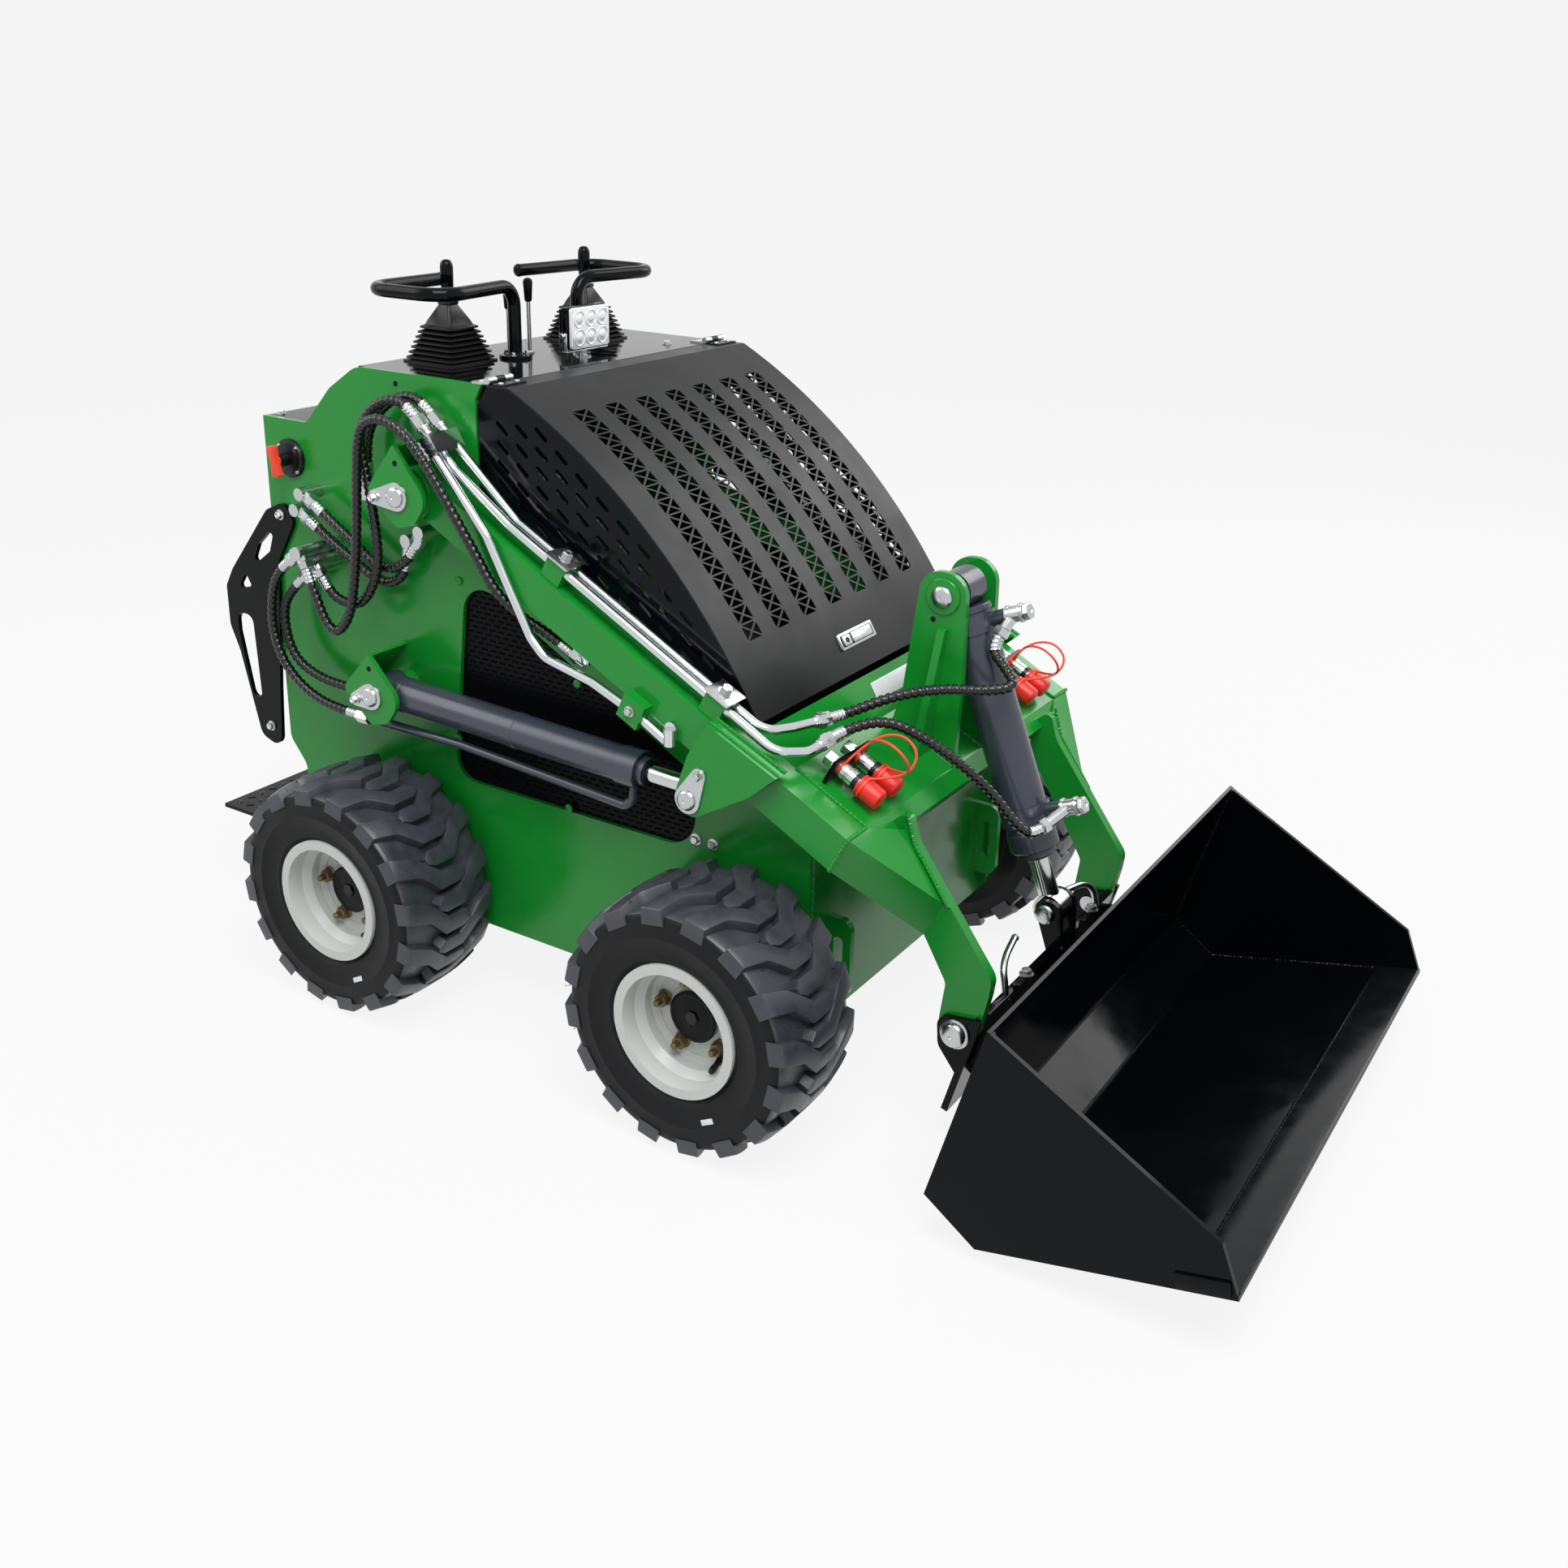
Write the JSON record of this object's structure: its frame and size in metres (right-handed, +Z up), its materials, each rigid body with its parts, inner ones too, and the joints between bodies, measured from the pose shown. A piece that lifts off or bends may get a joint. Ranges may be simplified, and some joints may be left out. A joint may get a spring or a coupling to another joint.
{
  "type": "compact stand-on skid steer loader",
  "caption": "Compact stand-on skid steer loader: four driven wheels, two lift arms with a front tilt tower, quick attach plate and bucket, louvred engine hood.",
  "frame": {"origin": "centre of the whole machine's footprint box, on the floor", "axes": "+X to the front (bucket), +Y to the machine's left, +Z up"},
  "size_m": [2.239, 1.148, 1.333],
  "materials": {
    "black_paint": "gloss",
    "cap_red": "satin",
    "chrome_rod": "polished",
    "cylinder_grey": "satin",
    "engine_grey": "matte",
    "foam_pad": "soft matte",
    "green_paint": "gloss",
    "hose_black": "semi gloss",
    "rim_white": "satin",
    "rubber_black": "matte",
    "tyre_rubber": "matte",
    "zinc_steel": "zinc plated"
  },
  "bodies": {
    "chassis": {"axle_hubs": "zinc_steel", "battery_switch": "rubber_black", "belly_pan": "green_paint", "chassis_pins": "zinc_steel", "control_levers": "rubber_black", "dash_panel": "black_paint", "deck": "black_paint", "engine": "engine_grey", "front_panel": "green_paint", "hand_rests": "black_paint", "hood_hinges": "zinc_steel", "hoses_arm": "hose_black", "hoses_lift": "hose_black", "joystick_boots": "rubber_black", "joystick_grips": "rubber_black", "platform": "black_paint", "port_fittings": "zinc_steel", "rear_guards": "black_paint", "rear_panel": "green_paint", "side_grilles": "black_paint", "side_plate_left": "green_paint", "side_plate_right": "green_paint", "thigh_pad": "foam_pad", "tie_down_loops": "green_paint", "work_lamp": "black_paint"},
    "lift_arms": {"arm_pins": "zinc_steel", "coupler_brackets": "black_paint", "coupler_caps": "cap_red", "cross_beam": "green_paint", "hoses_tilt": "hose_black", "lift_arm_left": "green_paint", "lift_arm_right": "green_paint", "line_clamps": "green_paint", "line_ends": "zinc_steel", "quick_couplers": "zinc_steel", "steel_lines": "zinc_steel", "tilt_tower": "green_paint"},
    "attachment": {"attach_plate": "black_paint", "bucket": "black_paint", "plate_pins": "zinc_steel"},
    "hood": {"hood": "black_paint", "hood_cheeks": "black_paint", "hood_latch": "zinc_steel"},
    "tilt_barrel": {"tilt_barrel": "cylinder_grey", "tilt_fittings": "zinc_steel"},
    "tilt_rod": {"tilt_rod": "chrome_rod"},
    "lift_barrel_right": {"lift_barrel_right": "cylinder_grey"},
    "lift_barrel_left": {"lift_barrel_left": "cylinder_grey"},
    "lift_rod_right": {"lift_rod_right": "chrome_rod"},
    "lift_rod_left": {"lift_rod_left": "chrome_rod"},
    "wheel_front_right": {"rim_front_right": "rim_white", "tyre_front_right": "tyre_rubber"},
    "wheel_front_left": {"rim_front_left": "rim_white", "tyre_front_left": "tyre_rubber"},
    "wheel_rear_right": {"rim_rear_right": "rim_white", "tyre_rear_right": "tyre_rubber"},
    "wheel_rear_left": {"rim_rear_left": "rim_white", "tyre_rear_left": "tyre_rubber"}
  },
  "joints": [
    {"name": "arm_lift", "type": "hinge", "parent": "chassis", "child": "lift_arms", "pos_m": [-0.4615, 0, 0.967], "axis": [0, -1, 0], "range_deg": [0, 80], "deforming": ["hoses_arm"]},
    {"name": "bucket_tilt", "type": "hinge", "parent": "lift_arms", "child": "attachment", "pos_m": [0.5655, 0, 0.211], "axis": [0, 1, 0], "range_deg": [-22, 90]},
    {"name": "hood_open", "type": "hinge", "parent": "chassis", "child": "hood", "pos_m": [-0.34, 0, 1.1625], "axis": [0, -1, 0], "range_deg": [0, 60]},
    {"name": "lift_swing_right", "type": "hinge", "parent": "chassis", "child": "lift_barrel_right", "pos_m": [-0.5555, -0.395, 0.587], "axis": [0, -1, 0], "range_deg": [0, 60.12], "deforming": ["hoses_lift"]},
    {"name": "lift_extend_right", "type": "slide", "parent": "lift_barrel_right", "child": "lift_rod_right", "axis": [0.9996, 0, -0.03], "range_m": [0, 0.4183]},
    {"name": "lift_swing_left", "type": "hinge", "parent": "chassis", "child": "lift_barrel_left", "pos_m": [-0.5555, 0.395, 0.587], "axis": [0, -1, 0], "range_deg": [0, 60.12]},
    {"name": "lift_extend_left", "type": "slide", "parent": "lift_barrel_left", "child": "lift_rod_left", "axis": [0.9996, 0, -0.03], "range_m": [0, 0.4183]},
    {"name": "tilt_swing", "type": "hinge", "parent": "lift_arms", "child": "tilt_barrel", "pos_m": [0.3855, 0, 0.854], "axis": [0, -1, 0], "range_deg": [-1.45, 4.4], "deforming": ["hoses_tilt"]},
    {"name": "tilt_extend", "type": "slide", "parent": "tilt_barrel", "child": "tilt_rod", "axis": [0.3687, 0, -0.9296], "range_m": [-0.0366, 0.1437]},
    {"name": "spin_front_right", "type": "hinge", "parent": "chassis", "child": "wheel_front_right", "pos_m": [0.2055, -0.469, 0.226], "axis": [0, 1, 0], "continuous": true},
    {"name": "spin_front_left", "type": "hinge", "parent": "chassis", "child": "wheel_front_left", "pos_m": [0.2055, 0.469, 0.226], "axis": [0, 1, 0], "continuous": true},
    {"name": "spin_rear_right", "type": "hinge", "parent": "chassis", "child": "wheel_rear_right", "pos_m": [-0.5705, -0.469, 0.226], "axis": [0, 1, 0], "continuous": true},
    {"name": "spin_rear_left", "type": "hinge", "parent": "chassis", "child": "wheel_rear_left", "pos_m": [-0.5705, 0.469, 0.226], "axis": [0, 1, 0], "continuous": true}
  ],
  "couplings": [
    {"joint": "lift_swing_right", "follows": "arm_lift", "ratio": 0.74524},
    {"joint": "lift_extend_right", "follows": "arm_lift", "m_per_rad": 0.29816},
    {"joint": "lift_swing_left", "follows": "arm_lift", "ratio": 0.74524},
    {"joint": "lift_extend_left", "follows": "arm_lift", "m_per_rad": 0.29816},
    {"joint": "tilt_swing", "follows": "bucket_tilt", "ratio": 0.043311},
    {"joint": "tilt_extend", "follows": "bucket_tilt", "m_per_rad": 0.090223}
  ]
}
